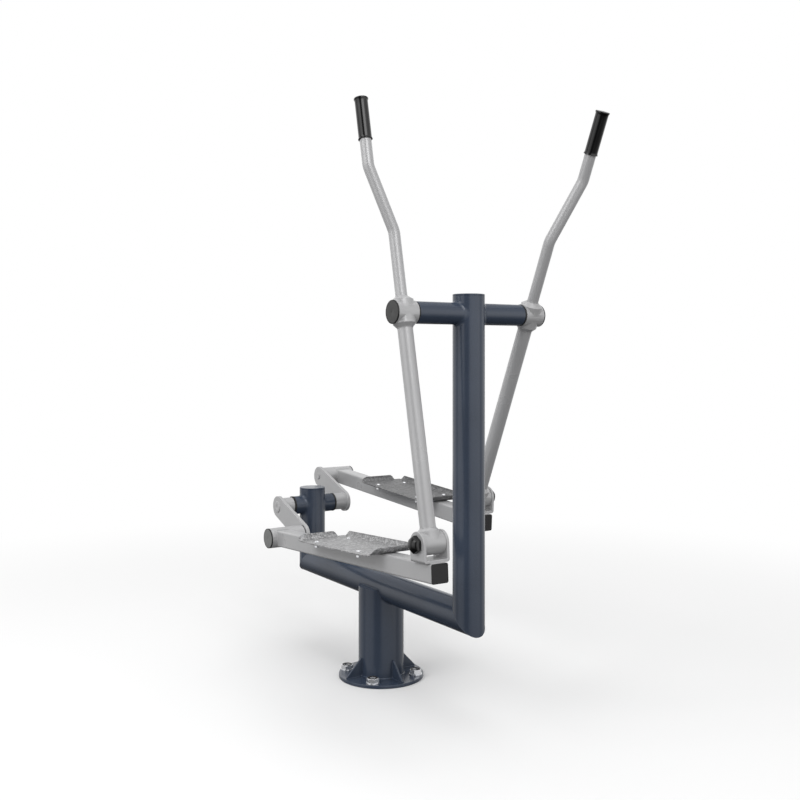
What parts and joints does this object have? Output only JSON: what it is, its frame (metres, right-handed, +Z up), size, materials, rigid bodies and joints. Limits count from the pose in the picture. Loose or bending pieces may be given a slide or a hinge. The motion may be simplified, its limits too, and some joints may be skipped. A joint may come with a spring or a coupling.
{
  "type": "outdoor cross trainer",
  "caption": "Fixed outdoor elliptical cross trainer on a round bolted base, with a navy tube frame, silver swinging arms and pedal bars, black grips and grey treads.",
  "frame": {"origin": "centre of the base flange's underside, where it stands on its foundation", "axes": "+Z up along the base post, +X forward towards the tall front post, +Y towards the machine's left"},
  "size_m": [1.4008, 0.596, 1.7013],
  "materials": {
    "navy_coat": "satin",
    "silver_coat": "satin",
    "zinc_plate": "gloss",
    "bearing_steel": "satin",
    "galvanised_tread": "matte",
    "grip_rubber": "satin",
    "black_rubber": "matte",
    "black_plastic": "satin",
    "cap_plastic": "matte"
  },
  "bodies": {
    "frame": {"base_flange": "navy_coat", "base_gussets": "navy_coat", "base_post": "navy_coat", "main_beam": "navy_coat", "rear_post": "navy_coat", "front_post": "navy_coat", "post_caps": "navy_coat", "cross_tube": "navy_coat", "crank_housing": "navy_coat", "arm_axle": "bearing_steel", "anchor_nuts": "zinc_plate", "anchor_washers": "zinc_plate", "crank_bearings": "bearing_steel", "seal_rings": "black_rubber"},
    "crankset": {"crank_spindle": "bearing_steel", "right_crank_hub": "silver_coat", "left_crank_hub": "silver_coat", "right_crank_plate": "silver_coat", "left_crank_plate": "silver_coat", "crank_plugs": "silver_coat", "pin_bolts": "silver_coat"},
    "right_arm": {"right_arm_hub": "silver_coat", "right_lower_tube": "silver_coat", "right_upper_tube": "silver_coat", "right_grip": "grip_rubber", "right_hub_cap": "cap_plastic", "right_arm_bearings": "bearing_steel", "right_lower_hub": "silver_coat"},
    "right_pedal_bar": {"right_pedal_bar": "silver_coat", "right_bar_cap": "black_plastic", "right_pivot_sleeve": "silver_coat", "right_sleeve_caps": "cap_plastic", "right_sleeve_bearings": "bearing_steel", "right_pedal_spindle": "bearing_steel", "right_clevis": "silver_coat", "right_clevis_bolt": "zinc_plate", "right_nut_cap": "black_plastic", "right_pedal_plate": "galvanised_tread", "right_pedal_lugs": "silver_coat", "right_pedal_bolts": "zinc_plate"},
    "left_arm": {"left_arm_hub": "silver_coat", "left_lower_tube": "silver_coat", "left_upper_tube": "silver_coat", "left_grip": "grip_rubber", "left_hub_cap": "cap_plastic", "left_arm_bearings": "bearing_steel", "left_lower_hub": "silver_coat"},
    "left_pedal_bar": {"left_pedal_bar": "silver_coat", "left_bar_cap": "black_plastic", "left_pivot_sleeve": "silver_coat", "left_sleeve_caps": "cap_plastic", "left_sleeve_bearings": "bearing_steel", "left_pedal_spindle": "bearing_steel", "left_clevis": "silver_coat", "left_clevis_bolt": "zinc_plate", "left_nut_cap": "black_plastic", "left_pedal_plate": "galvanised_tread", "left_pedal_lugs": "silver_coat", "left_pedal_bolts": "zinc_plate"}
  },
  "joints": [
    {"name": "crank_turn", "type": "hinge", "parent": "frame", "child": "crankset", "pos_m": [-0.464, 0, 0.479], "axis": [0, 1, 0], "range_deg": [0, 45]},
    {"name": "right_arm_swing", "type": "hinge", "parent": "frame", "child": "right_arm", "pos_m": [0.459, -0.214, 1.117], "axis": [0, 1, 0], "range_deg": [0, 11.78]},
    {"name": "right_bar_pivot", "type": "hinge", "parent": "right_arm", "child": "right_pedal_bar", "pos_m": [0.58157, -0.214, 0.52965], "axis": [0, 1, 0], "range_deg": [-18.43, 0]},
    {"name": "left_arm_swing", "type": "hinge", "parent": "frame", "child": "left_arm", "pos_m": [0.459, 0.214, 1.117], "axis": [0, 1, 0], "range_deg": [-9.54, 0]},
    {"name": "left_bar_pivot", "type": "hinge", "parent": "left_arm", "child": "left_pedal_bar", "pos_m": [0.21789, 0.214, 0.56758], "axis": [0, 1, 0], "range_deg": [0, 19.05]}
  ],
  "couplings": [
    {"joint": "right_arm_swing", "follows": "crank_turn", "ratio": 0.26143},
    {"joint": "right_bar_pivot", "follows": "crank_turn", "ratio": -0.40914},
    {"joint": "left_arm_swing", "follows": "crank_turn", "ratio": -0.21153},
    {"joint": "left_bar_pivot", "follows": "crank_turn", "ratio": 0.42292}
  ]
}
